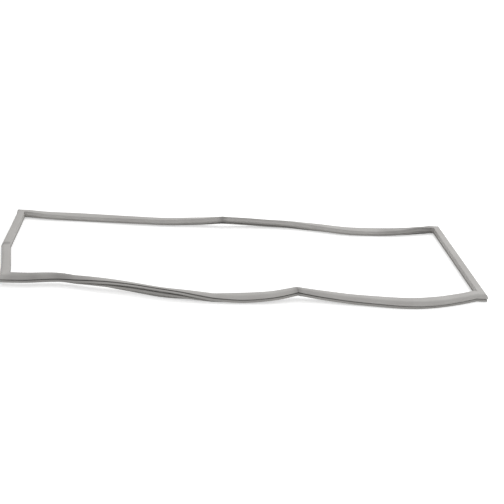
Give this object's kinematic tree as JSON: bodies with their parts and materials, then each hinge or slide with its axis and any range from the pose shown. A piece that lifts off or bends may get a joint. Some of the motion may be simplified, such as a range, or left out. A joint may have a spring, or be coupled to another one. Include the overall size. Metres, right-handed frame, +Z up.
{
  "type": "refrigerator door gasket",
  "caption": "Closed rectangular loop of soft grey door seal with mitred corners, a push-in dart and magnet strips inside, lying loose.",
  "frame": {"origin": "middle of the bounding box in X and Y, on the surface that the gasket lies on", "axes": "+X along the long sides, +Y away from the near long side, +Z up, out of the sealing face"},
  "size_m": [1.251, 0.557, 0.0332],
  "materials": {
    "grey_pvc": "satin",
    "magnet_rubber": "matte"
  },
  "bodies": {
    "root": {"gasket_profile": "grey_pvc", "magnet_near": "magnet_rubber", "magnet_far": "magnet_rubber", "magnet_left": "magnet_rubber", "magnet_right": "magnet_rubber"}
  },
  "joints": []
}
